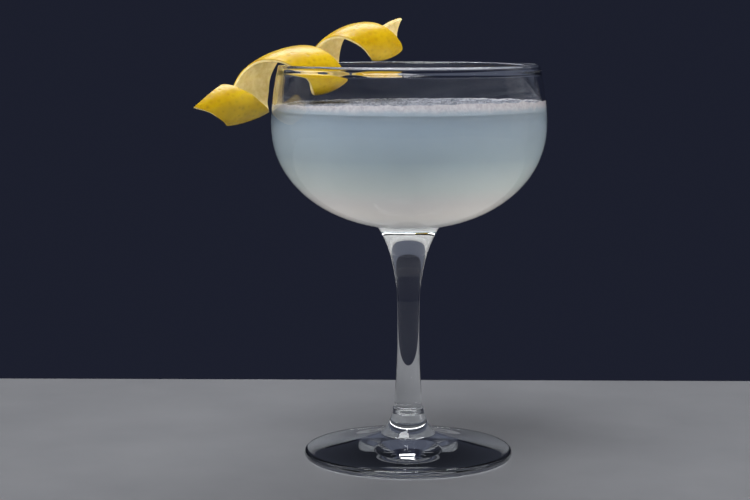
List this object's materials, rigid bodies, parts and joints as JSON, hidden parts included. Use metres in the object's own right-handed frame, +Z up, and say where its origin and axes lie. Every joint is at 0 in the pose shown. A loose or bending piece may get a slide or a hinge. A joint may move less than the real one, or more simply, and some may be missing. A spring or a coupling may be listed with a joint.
{
  "type": "cocktail in a coupe glass",
  "caption": "Cloudy pale gin cocktail with a thin foam in a stemmed coupe glass, with a spiral twist of lemon peel hanging over the rim.",
  "frame": {"origin": "centre of the foot's flat underside, on the surface that the glass stands on", "axes": "+Z up along the stem; -X is the side that the lemon twist hangs over; -Y is the front"},
  "size_m": [0.1227, 0.1002, 0.1585],
  "materials": {
    "clear_glass": "clear and polished",
    "cloudy_drink": "cloudy liquid",
    "foam": "fine foam",
    "lemon_peel": "waxy zest outside, pale pith inside"
  },
  "bodies": {
    "root": {"glass": "clear_glass", "drink": "cloudy_drink", "foam": "foam", "lemon_twist": "lemon_peel"}
  },
  "joints": []
}
